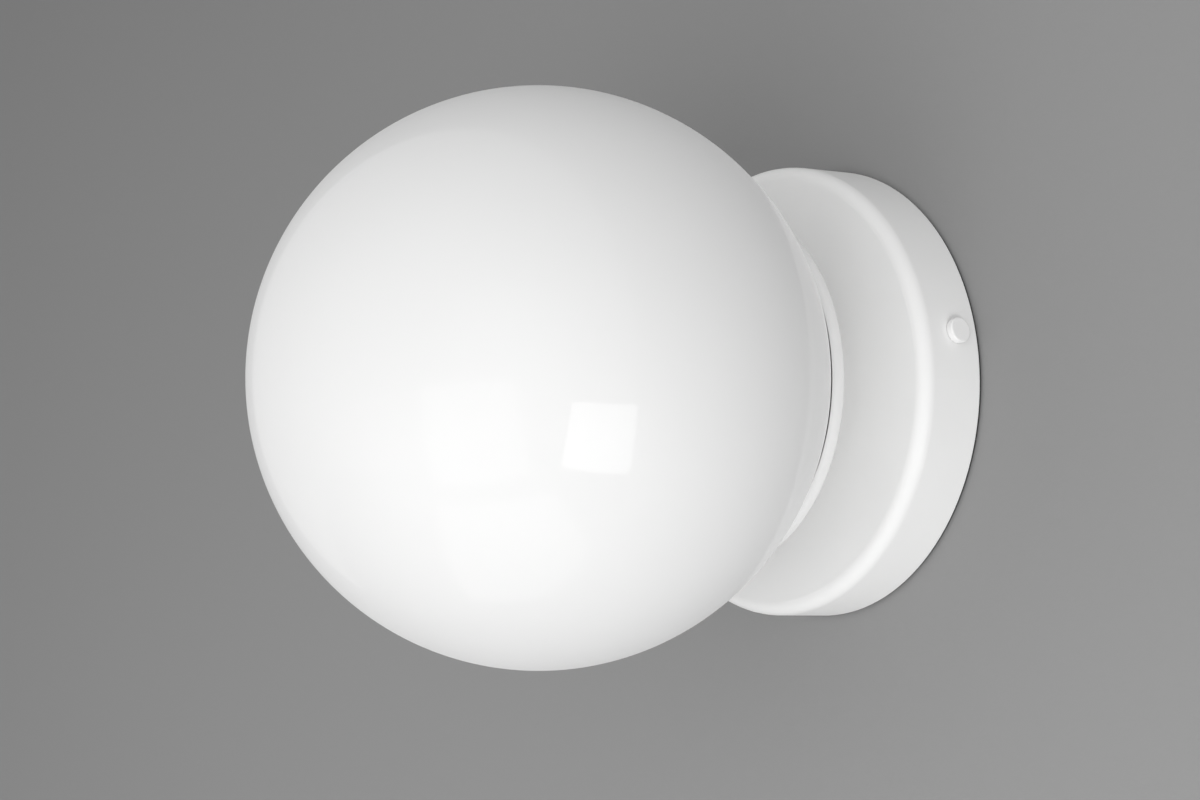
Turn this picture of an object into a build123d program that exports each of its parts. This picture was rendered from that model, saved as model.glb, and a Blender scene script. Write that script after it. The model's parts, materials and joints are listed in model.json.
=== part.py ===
from build123d import *
import os
from math import asin, cos, degrees, pi, radians, sin, sqrt, tan

# A wall light: an opal glass globe on a spun gallery, over a round cover plate.
# Frame: the wall is the plane Y = 0 and the light stands out of it along -Y.
# +X is to the right and +Z is up, and the origin is on the wall, on the light's own axis.
# "height" below always means a distance off the wall, in mm.

os.makedirs("parts", exist_ok=True)

# ---------------------------------------------------------------- driving sizes, mm

# glass globe
globe_radius = 100.0
globe_wall = 3.0
globe_stand_off = 3.0            # from the cover plate's face to the back of the ball
neck_radius = 35.2
neck_wall = 3.0
neck_bead = 0.6                  # how far the bead at the neck's end stands inwards
neck_bead_length = 1.8

# cover plate
plate_radius = 83.0              # at the wall
plate_depth = 27.0               # wall to front face
plate_wall = 1.8
plate_draft = 0.9                # degrees
plate_edge_radius = 4.8
plate_rim_rounding = 0.4         # outside edge of the open rim
gasket_thickness = 0.8           # the rim stands this far off the wall
gasket_inset = 0.5

# gallery that carries the globe
gallery_radius = 65.0
gallery_wall = 1.2
gallery_seat_gap = 2.16          # between the ball and the gallery's sloping wall
lip_gap = 0.4                    # between the ball and the gallery's lip
lip_land = 0.33                  # flat ring at the very front of the lip
seat_radius = 49.5               # where the sloping wall runs parallel to the ball
gallery_corner_radius = 1.2      # outside bend below the lip
hub_bend_radius = 1.6            # inside bend of the hub's floor
neck_clearance = 0.6             # between the neck and the hub
neck_end_clearance = 3.6         # between the neck's end and the hub's floor
seat_ring_width = 6.0
seat_ring_clearance = 0.3

# wall bracket
bracket_radius = 54.0
bracket_thickness = 2.0
arm_width = 24.0
tab_width = 14.0
tab_height = 18.0
tab_bend_radius = 2.5            # to the middle of the sheet
tab_clearance = 1.0              # between a tab and the inside of the cover plate
slot_spacing = 60.0
slot_length = 11.0
slot_width = 5.0
cable_hole_radius = 9.0
cable_bore_radius = 5.0
grommet_flange_radius = 11.5
grommet_flange_thickness = 1.2
grommet_recess = 0.2             # how far the grommet stays clear of the wall

# hand screws that hold the cover plate to the bracket
cover_screw_count = 3
cover_screw_angle = 11.7         # degrees above +X, for the first one
cover_screw_height = 10.4
cover_screw_radius = 2.0
cover_screw_head_radius = 4.5
cover_screw_head_height = 2.4
cover_screw_head_rounding = 0.6
cover_screw_length = 11.0        # under the head
cover_screw_seat_gap = 0.1
clearance_hole_gap = 0.25
thread_gap = 0.05

# hollow nipple that clamps plate, gallery and lampholder together
nipple_radius = 5.0
nipple_bore_radius = 3.5
nipple_below_nut = 1.7
nipple_above_cap_floor = 1.8
nut_across_flats = 14.0
nut_thickness = 3.0
tooth_washer_radius = 9.0
tooth_washer_thickness = 1.0
tooth_count = 12
tooth_width = 1.6
tooth_length = 1.0

# leaf springs that grip the inside of the neck
clip_count = 3
clip_angle = 72.0                # degrees, for the first one
clip_width = 8.0
clip_sheet = 0.5
clip_gap = 0.45                  # between a leaf's bulge and the neck
clip_lean = 1.3                  # how far the bulge stands out past the leaf's root
clip_lead_in = 2.5               # how far the tip leans back from the bulge
clip_knee_height = 3.6           # over the hub's floor
clip_bulge_height = 6.8
clip_tip_height = 11.8
clip_bend = 0.6
clip_foot = 4.2                  # from a leaf's root in to its rivet
clip_heel = 3.5                  # from the rivet in to the end of the foot
rivet_radius = 1.5
rivet_head_radius = 2.6
rivet_head_height = 1.1
rivet_head_rounding = 0.7

# lampholder
holder_radius = 20.0
holder_wall = 2.0
holder_cap_base_radius = 12.0
holder_cap_shoulder = 6.8        # height of the cone over the cap's base
holder_cap_length = 14.8
insert_thickness = 5.0
insert_gap = 0.2
insert_edge_wall = 1.2
skirt_length = 30.0
skirt_mouth_lip = 2.0
skirt_mouth_gap = 0.4
skirt_groove_count = 3
skirt_groove_width = 1.6
skirt_groove_depth = 0.6
skirt_groove_pitch = 4.4
shell_thickness = 0.85
shell_length = 22.0
shell_base_radius = 10.0         # inside of the shell's inturned base
shell_base_thickness = 0.5
contact_thickness = 0.4
contact_width = 5.0
contact_rise = 1.3
live_terminal_x = -7.0
neutral_terminal_x = 11.5
terminal_length = 5.0
terminal_depth = 6.0
terminal_height = 4.0
terminal_post_radius = 1.4
terminal_screw_radius = 1.2
terminal_screw_head_radius = 2.0
terminal_screw_head_height = 1.4

# lamp, with the standard 27 mm screw cap
cap_radius = 13.2
cap_thread_gap = 0.1
cap_sheet = 0.6
cap_length = 20.5
cap_base_radius = 10.0
insulator_base_radius = 5.6
insulator_top_radius = 11.0
insulator_length = 3.6
pip_radius = 4.6
pip_height = 0.7
pip_rounding = 0.5
pip_gap = 0.3                    # between the pip and the centre contact
turning_gap = 0.05
lamp_radius = 30.0
lamp_length = 108.0
lamp_wall = 1.2
housing_top_height = 61.8        # over the pip's tip
housing_shoulder = 1.4           # how far the housing's foot stands out past the cap
housing_collar = 2.0
housing_overlap = 4.0            # how far the housing reaches down inside the cap
housing_swell = 2.4              # how far the flank bows out from a straight cone

# terminal block
pole_pitch = 10.0
block_length = 31.0
block_depth = 18.0
block_base_height = 8.5
block_height = 14.0
block_offset = 31.0              # from the light's axis down to the block's middle
tower_radius = 3.7
tower_spacing = 10.0
tower_well_radius = 1.8
sleeve_radius = 2.4
sleeve_bore_radius = 1.8
sleeve_length = 16.0
sleeve_height = 5.0              # over the bracket
clamp_screw_radius = 1.3
clamp_screw_length = 5.6
clamp_slot_width = 0.5
clamp_slot_depth = 0.7
clamp_screw_lift = 0.1           # between a wire and its clamp screw
block_screw_radius = 1.5
block_screw_head_radius = 2.7
block_screw_head_height = 1.7
block_screw_x = 5.0

# earth terminal
earth_x = 30.0
earth_z = -36.0
earth_screw_radius = 2.0
earth_head_radius = 4.0
earth_head_height = 2.4
earth_head_rounding = 0.8
earth_slot_width = 1.0
earth_slot_depth = 1.1
earth_washer_radius = 4.2
earth_washer_thickness = 0.9
ring_radius = 4.0
ring_thickness = 0.8
barrel_radius = 1.9
barrel_length = 6.0

# wires, along straight runs joined by tangent arcs
wire_radius = 1.1
wire_spacing = 3.0               # between the two wires inside the nipple
wire_turn_z = -10.0              # where the wires leave the block's direction
wire_rise_drop = 7.0             # from the nipple down to where they turn into it
wire_fan_rise = 2.0              # from the nipple up to where they part
wire_bend_share = 0.45           # of the shorter run beside a bend, taken up by the bend

# ---------------------------------------------------------------- sizes that follow

globe_centre = plate_depth + globe_stand_off + globe_radius
hub_inner_radius = neck_radius + neck_clearance
hub_outer_radius = hub_inner_radius + gallery_wall
hub_floor = plate_depth + gallery_wall
neck_end = hub_floor + neck_end_clearance
neck_inner_radius = neck_radius - neck_wall

cone_angle = asin(seat_radius / (globe_radius + gallery_seat_gap))
cone_inner_distance = globe_radius + gallery_seat_gap
cone_outer_distance = cone_inner_distance + gallery_wall
lip_front = globe_centre - sqrt((globe_radius + lip_gap) ** 2 - (gallery_radius - lip_land) ** 2)

plate_front_radius = plate_radius - (plate_depth - gasket_thickness) * tan(radians(plate_draft))
plate_inside = plate_depth - plate_wall
screw_wall_radius = plate_radius - (cover_screw_height - gasket_thickness) * tan(radians(plate_draft))
screw_seat_radius = (
    screw_wall_radius + cover_screw_head_radius * tan(radians(plate_draft)) + cover_screw_seat_gap
)
tab_outer_radius = screw_wall_radius - plate_wall - tab_clearance
cover_screw_angles = [cover_screw_angle + i * 360 / cover_screw_count for i in range(cover_screw_count)]
clip_angles = [clip_angle + i * 360 / clip_count for i in range(clip_count)]
clip_bulge_radius = neck_inner_radius - clip_gap - clip_sheet / 2
clip_root_radius = clip_bulge_radius - clip_lean
rivet_circle_radius = clip_root_radius - clip_foot

lock_nut_bottom = plate_inside - tooth_washer_thickness - nut_thickness
nipple_bottom = lock_nut_bottom - nipple_below_nut
holder_base = hub_floor + nut_thickness
cap_floor = holder_base + holder_wall
nipple_top = cap_floor + nipple_above_cap_floor
insert_bottom = holder_base + holder_cap_length
insert_top = insert_bottom + insert_thickness
skirt_top = insert_bottom + skirt_length
insert_radius = holder_radius - insert_edge_wall - insert_gap
shell_inner_radius = cap_radius + cap_thread_gap
shell_outer_radius = shell_inner_radius + shell_thickness
shell_bottom = insert_top
contact_top = insert_top + contact_thickness + contact_rise

pip_tip = contact_top + pip_gap
insulator_bottom = pip_tip + pip_height + turning_gap
cap_bottom = insulator_bottom + insulator_length
cap_top = cap_bottom + cap_length
housing_foot_radius = cap_radius + housing_shoulder
housing_bottom = cap_top - housing_overlap
housing_top = pip_tip + housing_top_height
lamp_tip = pip_tip + lamp_length
bulb_centre = lamp_tip - lamp_radius

terminal_middle = insert_bottom - terminal_height / 2
terminal_places = [(live_terminal_x, 0), (neutral_terminal_x, 0)]

wire_rise_height = nipple_bottom - wire_rise_drop
wire_fan_height = nipple_top + wire_fan_rise
sleeve_axis_height = bracket_thickness + sleeve_height
earth_barrel_height = bracket_thickness + barrel_radius

# ---------------------------------------------------------------- planes and points

# local x is the radius from the light's axis, local y is the height off the wall
SECTION = Plane(origin=(0, 0, 0), x_dir=(1, 0, 0), z_dir=(0, 0, -1))


def section_at(angle):
    """The same section, turned about the light's axis by an angle in degrees above +X."""
    across, up = cos(radians(angle)), sin(radians(angle))
    return Plane(origin=(0, 0, 0), x_dir=(across, 0, up), z_dir=(up, 0, -across))


def off_wall(height):
    """A plane parallel to the wall, facing out of it: local x is X and local y is Z."""
    return Plane(origin=(0, -height, 0), x_dir=(1, 0, 0), z_dir=(0, -1, 0))


def facing_down(x, height, z):
    """A plane that faces -Z at a point: local x is X and local y is the height."""
    return Plane(origin=(x, -height, z), x_dir=(1, 0, 0), z_dir=(0, 0, -1))


def radial_axis(angle, height):
    """The line out of the light's axis at an angle, at a height off the wall."""
    return Axis((0, -height, 0), (cos(radians(angle)), 0, sin(radians(angle))))


def at(x, height, z):
    """A point given by its height off the wall."""
    return (x, -height, z)


def from_ball(distance, angle):
    """A section point at a distance from the ball's centre, by its angle from the light's axis."""
    return (distance * sin(angle), globe_centre - distance * cos(angle))


def cone_height(distance, radius):
    """The height, at a radius, of the sloping line that passes the ball's centre at a distance."""
    return globe_centre - (distance - radius * sin(cone_angle)) / cos(cone_angle)


def ball_height(ball_radius, radius):
    """The height, at a radius, of the wall side of a ball about the globe's centre."""
    return globe_centre - sqrt(ball_radius**2 - radius**2)


# ---------------------------------------------------------------- cover plate and its gasket

with BuildPart() as backplate:
    rim_edge = (plate_radius, gasket_thickness)
    outer_edge = (plate_front_radius, plate_depth)
    inner_edge = (plate_front_radius - plate_wall, plate_inside)
    with BuildSketch(SECTION) as outline:
        with BuildLine():
            Polyline(
                rim_edge,
                outer_edge,
                (0, plate_depth),
                (0, plate_inside),
                inner_edge,
                (plate_radius - plate_wall, gasket_thickness),
                close=True,
            )
        make_face()
        fillet(outline.vertices().sort_by_distance(outer_edge)[0], radius=plate_edge_radius)
        fillet(outline.vertices().sort_by_distance(inner_edge)[0], radius=plate_edge_radius - plate_wall)
        fillet(outline.vertices().sort_by_distance(rim_edge)[0], radius=plate_rim_rounding)
    revolve(axis=Axis.Y)
    with BuildSketch(off_wall(plate_depth)):
        Circle(nipple_radius + clearance_hole_gap)
        with PolarLocations(rivet_circle_radius, clip_count, start_angle=clip_angle):
            Circle(rivet_radius)
    extrude(amount=-plate_wall, mode=Mode.SUBTRACT)
    for angle in cover_screw_angles:
        with BuildSketch(Plane(origin=radial_axis(angle, cover_screw_height).position,
                               z_dir=radial_axis(angle, cover_screw_height).direction)):
            Circle(cover_screw_radius + clearance_hole_gap)
        extrude(amount=plate_radius + plate_wall, mode=Mode.SUBTRACT)
backplate.part.label = "backplate"
export_step(backplate.part, "parts/backplate.step")

with BuildPart() as rim_gasket:
    with BuildSketch(off_wall(0)):
        Circle(plate_radius - gasket_inset)
        Circle(plate_radius - plate_wall, mode=Mode.SUBTRACT)
    extrude(amount=gasket_thickness)
rim_gasket.part.label = "rim_gasket"
export_step(rim_gasket.part, "parts/rim_gasket.step")

# ---------------------------------------------------------------- wall bracket

with BuildPart() as wall_bracket:
    with BuildSketch(off_wall(0)):
        Circle(bracket_radius)
        for angle in cover_screw_angles:
            with Locations(Location((0, 0), angle)):
                Rectangle(
                    tab_outer_radius - bracket_thickness - tab_bend_radius,
                    arm_width,
                    align=(Align.MIN, Align.CENTER),
                )
        with GridLocations(slot_spacing, 0, 2, 1):
            SlotOverall(slot_length, slot_width, mode=Mode.SUBTRACT)
        Circle(cable_hole_radius, mode=Mode.SUBTRACT)
        with Locations((earth_x, earth_z)):
            Circle(earth_screw_radius + thread_gap, mode=Mode.SUBTRACT)
        with Locations((-block_screw_x, -block_offset), (block_screw_x, -block_offset)):
            Circle(block_screw_radius + thread_gap, mode=Mode.SUBTRACT)
    extrude(amount=bracket_thickness)
    for angle in cover_screw_angles:
        with BuildSketch(section_at(angle)):
            with BuildLine():
                FilletPolyline(
                    (bracket_radius, bracket_thickness / 2),
                    (tab_outer_radius - bracket_thickness / 2, bracket_thickness / 2),
                    (tab_outer_radius - bracket_thickness / 2, tab_height),
                    radius=tab_bend_radius,
                )
            trace(line_width=bracket_thickness)
        extrude(amount=tab_width / 2, both=True)
        with BuildSketch(Plane(origin=radial_axis(angle, cover_screw_height).position,
                               z_dir=radial_axis(angle, cover_screw_height).direction)):
            Circle(cover_screw_radius + thread_gap)
        extrude(amount=plate_radius, mode=Mode.SUBTRACT)
wall_bracket.part.label = "wall_bracket"
export_step(wall_bracket.part, "parts/wall_bracket.step")

with BuildPart() as cable_grommet:
    with BuildSketch(off_wall(grommet_recess)):
        Circle(cable_hole_radius)
    extrude(amount=bracket_thickness - grommet_recess)
    with BuildSketch(off_wall(bracket_thickness)):
        Circle(grommet_flange_radius)
    extrude(amount=grommet_flange_thickness)
    fillet(cable_grommet.edges().filter_by(GeomType.CIRCLE).group_by(Axis.Y)[0],
           radius=grommet_flange_thickness / 2)
    with BuildSketch(off_wall(0)):
        Circle(cable_bore_radius)
    extrude(amount=bracket_thickness + grommet_flange_thickness, mode=Mode.SUBTRACT)
cable_grommet.part.label = "cable_grommet"
export_step(cable_grommet.part, "parts/cable_grommet.step")

# ---------------------------------------------------------------- cover screws


def hand_screw(angle):
    """A plain round-headed screw that goes in through the plate's side, towards the axis."""
    seat, tip = screw_seat_radius, screw_seat_radius - cover_screw_length
    face = seat + cover_screw_head_height
    with BuildPart() as screw:
        with BuildSketch(section_at(angle)) as outline:
            with BuildLine():
                Polyline(
                    (tip, cover_screw_height),
                    (tip, cover_screw_height + cover_screw_radius),
                    (seat, cover_screw_height + cover_screw_radius),
                    (seat, cover_screw_height + cover_screw_head_radius),
                    (face, cover_screw_height + cover_screw_head_radius),
                    (face, cover_screw_height),
                    close=True,
                )
            make_face()
            shoulder = (face, cover_screw_height + cover_screw_head_radius)
            fillet(outline.vertices().sort_by_distance(shoulder)[0], radius=cover_screw_head_rounding)
            end = (tip, cover_screw_height + cover_screw_radius)
            chamfer(outline.vertices().sort_by_distance(end)[0], length=cover_screw_radius / 4)
        revolve(axis=radial_axis(angle, cover_screw_height))
    return screw


for number, angle in enumerate(cover_screw_angles, start=1):
    cover_screw = hand_screw(angle)
    cover_screw.part.label = f"cover_screw_{number}"
    export_step(cover_screw.part, f"parts/cover_screw_{number}.step")

# ---------------------------------------------------------------- gallery and globe

with BuildPart() as gallery:
    hub_corner = (hub_outer_radius, plate_depth)
    hub_shoulder = (hub_outer_radius, cone_height(cone_outer_distance, hub_outer_radius))
    outer_corner = (gallery_radius, cone_height(cone_outer_distance, gallery_radius))
    inner_radius = gallery_radius - gallery_wall
    inner_corner = (inner_radius, cone_height(cone_inner_distance, inner_radius))
    hub_inner_shoulder = (hub_inner_radius, cone_height(cone_inner_distance, hub_inner_radius))
    floor_corner = (hub_inner_radius, hub_floor)
    lip_outside = (gallery_radius, lip_front)
    lip_inside = (gallery_radius - lip_land, lip_front)
    lip_middle_radius = (gallery_radius - lip_land + inner_radius) / 2
    lip_middle = (lip_middle_radius, ball_height(globe_radius + lip_gap, lip_middle_radius))
    lip_root = (inner_radius, ball_height(globe_radius + lip_gap, inner_radius))
    with BuildSketch(SECTION) as outline:
        with BuildLine():
            Polyline((0, plate_depth), hub_corner, hub_shoulder, outer_corner, lip_outside, lip_inside)
            ThreePointArc(lip_inside, lip_middle, lip_root)
            Polyline(lip_root, inner_corner, hub_inner_shoulder, floor_corner, (0, hub_floor))
            Line((0, hub_floor), (0, plate_depth))
        make_face()
        fillet(outline.vertices().sort_by_distance(outer_corner)[0], radius=gallery_corner_radius)
        fillet(outline.vertices().sort_by_distance(hub_corner)[0], radius=hub_bend_radius)
        fillet(outline.vertices().sort_by_distance(hub_inner_shoulder)[0], radius=hub_bend_radius)
        fillet(outline.vertices().sort_by_distance(hub_shoulder)[0], radius=hub_bend_radius)
    revolve(axis=Axis.Y)
    with BuildSketch(off_wall(plate_depth)):
        Circle(nipple_radius + clearance_hole_gap)
        with PolarLocations(rivet_circle_radius, clip_count, start_angle=clip_angle):
            Circle(rivet_radius)
    extrude(amount=gallery_wall, mode=Mode.SUBTRACT)
gallery.part.label = "gallery"
export_step(gallery.part, "parts/gallery.step")

with BuildPart() as seat_ring:
    half_turn = seat_ring_width / 2 / cone_inner_distance
    ring_top = globe_radius + seat_ring_clearance
    foot = cone_inner_distance / cos(half_turn)
    with BuildSketch(SECTION):
        with BuildLine():
            ThreePointArc(
                from_ball(ring_top, cone_angle - half_turn),
                from_ball(ring_top, cone_angle),
                from_ball(ring_top, cone_angle + half_turn),
            )
            Polyline(
                from_ball(ring_top, cone_angle + half_turn),
                from_ball(foot, cone_angle + half_turn),
                from_ball(foot, cone_angle - half_turn),
                from_ball(ring_top, cone_angle - half_turn),
            )
        make_face()
    revolve(axis=Axis.Y)
seat_ring.part.label = "seat_ring"
export_step(seat_ring.part, "parts/seat_ring.step")

with BuildPart() as globe:
    ball_inner_radius = globe_radius - globe_wall
    bead_radius = neck_inner_radius - neck_bead
    bead_top = neck_end + neck_bead_length
    with BuildSketch(SECTION) as outline:
        with BuildLine():
            ThreePointArc(
                (neck_radius, ball_height(globe_radius, neck_radius)),
                (globe_radius, globe_centre),
                (0, globe_centre + globe_radius),
            )
            Line((0, globe_centre + globe_radius), (0, globe_centre + ball_inner_radius))
            ThreePointArc(
                (0, globe_centre + ball_inner_radius),
                (ball_inner_radius, globe_centre),
                (neck_inner_radius, ball_height(ball_inner_radius, neck_inner_radius)),
            )
            Polyline(
                (neck_inner_radius, ball_height(ball_inner_radius, neck_inner_radius)),
                (neck_inner_radius, bead_top + neck_bead),
                (bead_radius, bead_top),
                (bead_radius, neck_end),
                (neck_radius, neck_end),
                (neck_radius, ball_height(globe_radius, neck_radius)),
            )
        make_face()
        fillet(outline.vertices().sort_by_distance((bead_radius, neck_end))[0], radius=neck_wall / 3)
        fillet(outline.vertices().sort_by_distance((neck_radius, neck_end))[0], radius=neck_wall / 3)
    revolve(axis=Axis.Y)
globe.part.label = "globe"
export_step(globe.part, "parts/globe.step")

# ---------------------------------------------------------------- spring clips and rivets

with BuildPart() as spring_clips:
    for angle in clip_angles:
        with BuildSketch(section_at(angle)):
            with BuildLine():
                FilletPolyline(
                    (rivet_circle_radius - clip_heel, hub_floor + clip_sheet / 2),
                    (clip_root_radius, hub_floor + clip_sheet / 2),
                    (clip_root_radius + clip_sheet / 2, hub_floor + clip_knee_height),
                    (clip_bulge_radius, hub_floor + clip_bulge_height),
                    (clip_bulge_radius - clip_lead_in, hub_floor + clip_tip_height),
                    radius=clip_bend,
                )
            trace(line_width=clip_sheet)
        extrude(amount=clip_width / 2, both=True)
    with BuildSketch(off_wall(hub_floor)):
        with PolarLocations(rivet_circle_radius, clip_count, start_angle=clip_angle):
            Circle(rivet_radius)
    extrude(amount=clip_sheet, mode=Mode.SUBTRACT)
spring_clips.part.label = "spring_clips"
export_step(spring_clips.part, "parts/spring_clips.step")

with BuildPart() as clip_rivets:
    head_bottom = hub_floor + clip_sheet
    with BuildSketch(off_wall(plate_inside)):
        with PolarLocations(rivet_circle_radius, clip_count, start_angle=clip_angle):
            Circle(rivet_radius)
    extrude(amount=head_bottom - plate_inside)
    for head_plane, reach in ((off_wall(head_bottom), rivet_head_height),
                              (off_wall(plate_inside), -rivet_head_height)):
        with BuildSketch(head_plane):
            with PolarLocations(rivet_circle_radius, clip_count, start_angle=clip_angle):
                Circle(rivet_head_radius)
        extrude(amount=reach)
    head_rims = clip_rivets.edges().filter_by(GeomType.CIRCLE).group_by(Axis.Y)
    fillet(head_rims[0] + head_rims[-1], radius=rivet_head_rounding)
clip_rivets.part.label = "clip_rivets"
export_step(clip_rivets.part, "parts/clip_rivets.step")

# ---------------------------------------------------------------- nipple, nuts and washer

with BuildPart() as nipple:
    with BuildSketch(off_wall(nipple_bottom)):
        Circle(nipple_radius)
        Circle(nipple_bore_radius, mode=Mode.SUBTRACT)
    extrude(amount=nipple_top - nipple_bottom)
nipple.part.label = "nipple"
export_step(nipple.part, "parts/nipple.step")


def hex_nut(bottom):
    """A flat hexagon nut on the nipple, by the height of its lower face."""
    with BuildPart() as nut:
        with BuildSketch(off_wall(bottom)):
            RegularPolygon(nut_across_flats / 2, 6, major_radius=False)
            Circle(nipple_radius + thread_gap, mode=Mode.SUBTRACT)
        extrude(amount=nut_thickness)
    return nut


lock_nut = hex_nut(lock_nut_bottom)
lock_nut.part.label = "lock_nut"
export_step(lock_nut.part, "parts/lock_nut.step")

gallery_nut = hex_nut(hub_floor)
gallery_nut.part.label = "gallery_nut"
export_step(gallery_nut.part, "parts/gallery_nut.step")

with BuildPart() as tooth_washer:
    with BuildSketch(off_wall(plate_inside - tooth_washer_thickness)):
        Circle(tooth_washer_radius - tooth_length)
        with PolarLocations(tooth_washer_radius - tooth_length, tooth_count):
            Rectangle(2 * tooth_length, tooth_width)
        Circle(nipple_radius + thread_gap, mode=Mode.SUBTRACT)
    extrude(amount=tooth_washer_thickness)
tooth_washer.part.label = "tooth_washer"
export_step(tooth_washer.part, "parts/tooth_washer.step")

# ---------------------------------------------------------------- wires


def bend_radii(points):
    """One radius for each corner of a route, as large as the two runs beside it allow."""
    runs = [Vector(*end) - Vector(*start) for start, end in zip(points, points[1:])]
    return [
        wire_bend_share * min(before.length, after.length) / tan(radians(before.get_angle(after) / 2))
        for before, after in zip(runs, runs[1:])
    ]


def wire_run(points):
    """A round wire along straight runs joined by tangent arcs."""
    radii = bend_radii(points)
    with BuildPart() as run:
        with BuildLine() as path:
            FilletPolyline(*points, radius=radii)
        with BuildSketch(Plane(origin=path.line @ 0, z_dir=path.line % 0)):
            Circle(wire_radius)
        sweep()
    length = path.wires()[0].length
    print(f"wire: length {length:.1f} mm, bend radii {[round(radius, 1) for radius in radii]} mm, "
          f"volume {run.part.volume:.1f} mm3, section times length {pi * wire_radius**2 * length:.1f} mm3")
    return run


def feed_wire(side, end_x):
    """A wire from the outer pole on one side, up through the nipple, to a lampholder terminal."""
    return wire_run(
        [
            at(side * pole_pitch, sleeve_axis_height, -block_offset + tower_spacing / 2),
            at(side * pole_pitch, sleeve_axis_height, wire_turn_z),
            at(side * wire_spacing / 2, wire_rise_height, 0),
            at(side * wire_spacing / 2, wire_fan_height, 0),
            at(end_x, terminal_middle, 0),
        ]
    )


live_wire = feed_wire(-1, live_terminal_x)
live_wire.part.label = "live_wire"
export_step(live_wire.part, "parts/live_wire.step")

neutral_wire = feed_wire(1, neutral_terminal_x)
neutral_wire.part.label = "neutral_wire"
export_step(neutral_wire.part, "parts/neutral_wire.step")

earth_wire = wire_run(
    [
        at(0, sleeve_axis_height, -block_offset - tower_spacing / 2),
        at(0, sleeve_axis_height, -52),
        at(15, (sleeve_axis_height + earth_barrel_height) / 2, -63),
        at(earth_x, earth_barrel_height, -57),
        at(earth_x, earth_barrel_height, earth_z - ring_radius - barrel_length / 2),
    ]
)
earth_wire.part.label = "earth_wire"
export_step(earth_wire.part, "parts/earth_wire.step")

# ---------------------------------------------------------------- lampholder

with BuildPart() as holder_cap:
    shoulder_height = holder_base + holder_cap_shoulder
    with BuildSketch(SECTION) as outline:
        with BuildLine():
            Polyline(
                (nipple_radius + thread_gap, holder_base),
                (holder_cap_base_radius, holder_base),
                (holder_radius, shoulder_height),
                (holder_radius, insert_bottom),
                (holder_radius - holder_wall, insert_bottom),
                (holder_radius - holder_wall, shoulder_height + holder_wall / 2),
                (holder_cap_base_radius - holder_wall / 2, cap_floor),
                (nipple_radius + thread_gap, cap_floor),
                close=True,
            )
        make_face()
        fillet(outline.vertices().sort_by_distance((holder_radius, shoulder_height))[0], radius=3.0)
        fillet(outline.vertices().sort_by_distance((holder_cap_base_radius, holder_base))[0], radius=1.0)
    revolve(axis=Axis.Y)
holder_cap.part.label = "holder_cap"
export_step(holder_cap.part, "parts/holder_cap.step")

with BuildPart() as holder_insert:
    with BuildSketch(off_wall(insert_bottom)):
        Circle(insert_radius)
        with Locations(*terminal_places):
            Circle(terminal_post_radius, mode=Mode.SUBTRACT)
    extrude(amount=insert_thickness)
holder_insert.part.label = "holder_insert"
export_step(holder_insert.part, "parts/holder_insert.step")

with BuildPart() as holder_terminals:
    with BuildSketch(off_wall(insert_bottom)):
        with Locations(*terminal_places):
            Rectangle(terminal_length, terminal_depth)
    extrude(amount=-terminal_height)
    with BuildSketch(off_wall(insert_bottom)):
        with Locations(*terminal_places):
            Circle(terminal_post_radius)
    extrude(amount=insert_thickness)
    with BuildSketch(facing_down(0, terminal_middle, terminal_depth / 2)):
        with Locations(*terminal_places):
            Circle(terminal_screw_radius + thread_gap)
    extrude(amount=terminal_depth / 2, mode=Mode.SUBTRACT)
    add(live_wire.part, mode=Mode.SUBTRACT)
    add(neutral_wire.part, mode=Mode.SUBTRACT)
holder_terminals.part.label = "holder_terminals"
export_step(holder_terminals.part, "parts/holder_terminals.step")

with BuildPart() as terminal_screws:
    with BuildSketch(facing_down(0, terminal_middle, terminal_depth / 2)):
        with Locations(*terminal_places):
            Circle(terminal_screw_radius)
    extrude(amount=terminal_depth / 2 - wire_radius - clamp_screw_lift)
    with BuildSketch(facing_down(0, terminal_middle, terminal_depth / 2)):
        with Locations(*terminal_places):
            Circle(terminal_screw_head_radius)
    extrude(amount=-terminal_screw_head_height)
    with BuildSketch(facing_down(0, terminal_middle, terminal_depth / 2 + terminal_screw_head_height)):
        with Locations(*terminal_places):
            Rectangle(2 * terminal_screw_head_radius, clamp_slot_width)
    extrude(amount=clamp_slot_depth, mode=Mode.SUBTRACT)
terminal_screws.part.label = "terminal_screws"
export_step(terminal_screws.part, "parts/terminal_screws.step")

with BuildPart() as centre_contact:
    base_height = insert_top + contact_thickness / 2
    crest_height = contact_top - contact_thickness / 2
    with BuildSketch(SECTION):
        with BuildLine():
            FilletPolyline(
                (live_terminal_x - terminal_post_radius, base_height),
                (-3.2, base_height),
                (-1.0, crest_height),
                (2.0, crest_height),
                (4.2, base_height + contact_thickness),
                radius=0.8,
            )
        trace(line_width=contact_thickness)
    extrude(amount=contact_width / 2, both=True)
centre_contact.part.label = "centre_contact"
export_step(centre_contact.part, "parts/centre_contact.step")

with BuildPart() as threaded_shell:
    with BuildSketch(SECTION):
        with BuildLine():
            Polyline(
                (shell_base_radius, shell_bottom),
                (shell_outer_radius, shell_bottom),
                (shell_outer_radius, shell_bottom + shell_length),
                (shell_inner_radius, shell_bottom + shell_length),
                (shell_inner_radius, shell_bottom + shell_base_thickness),
                (shell_base_radius, shell_bottom + shell_base_thickness),
                close=True,
            )
        make_face()
    revolve(axis=Axis.Y)
threaded_shell.part.label = "threaded_shell"
export_step(threaded_shell.part, "parts/threaded_shell.step")

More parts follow.
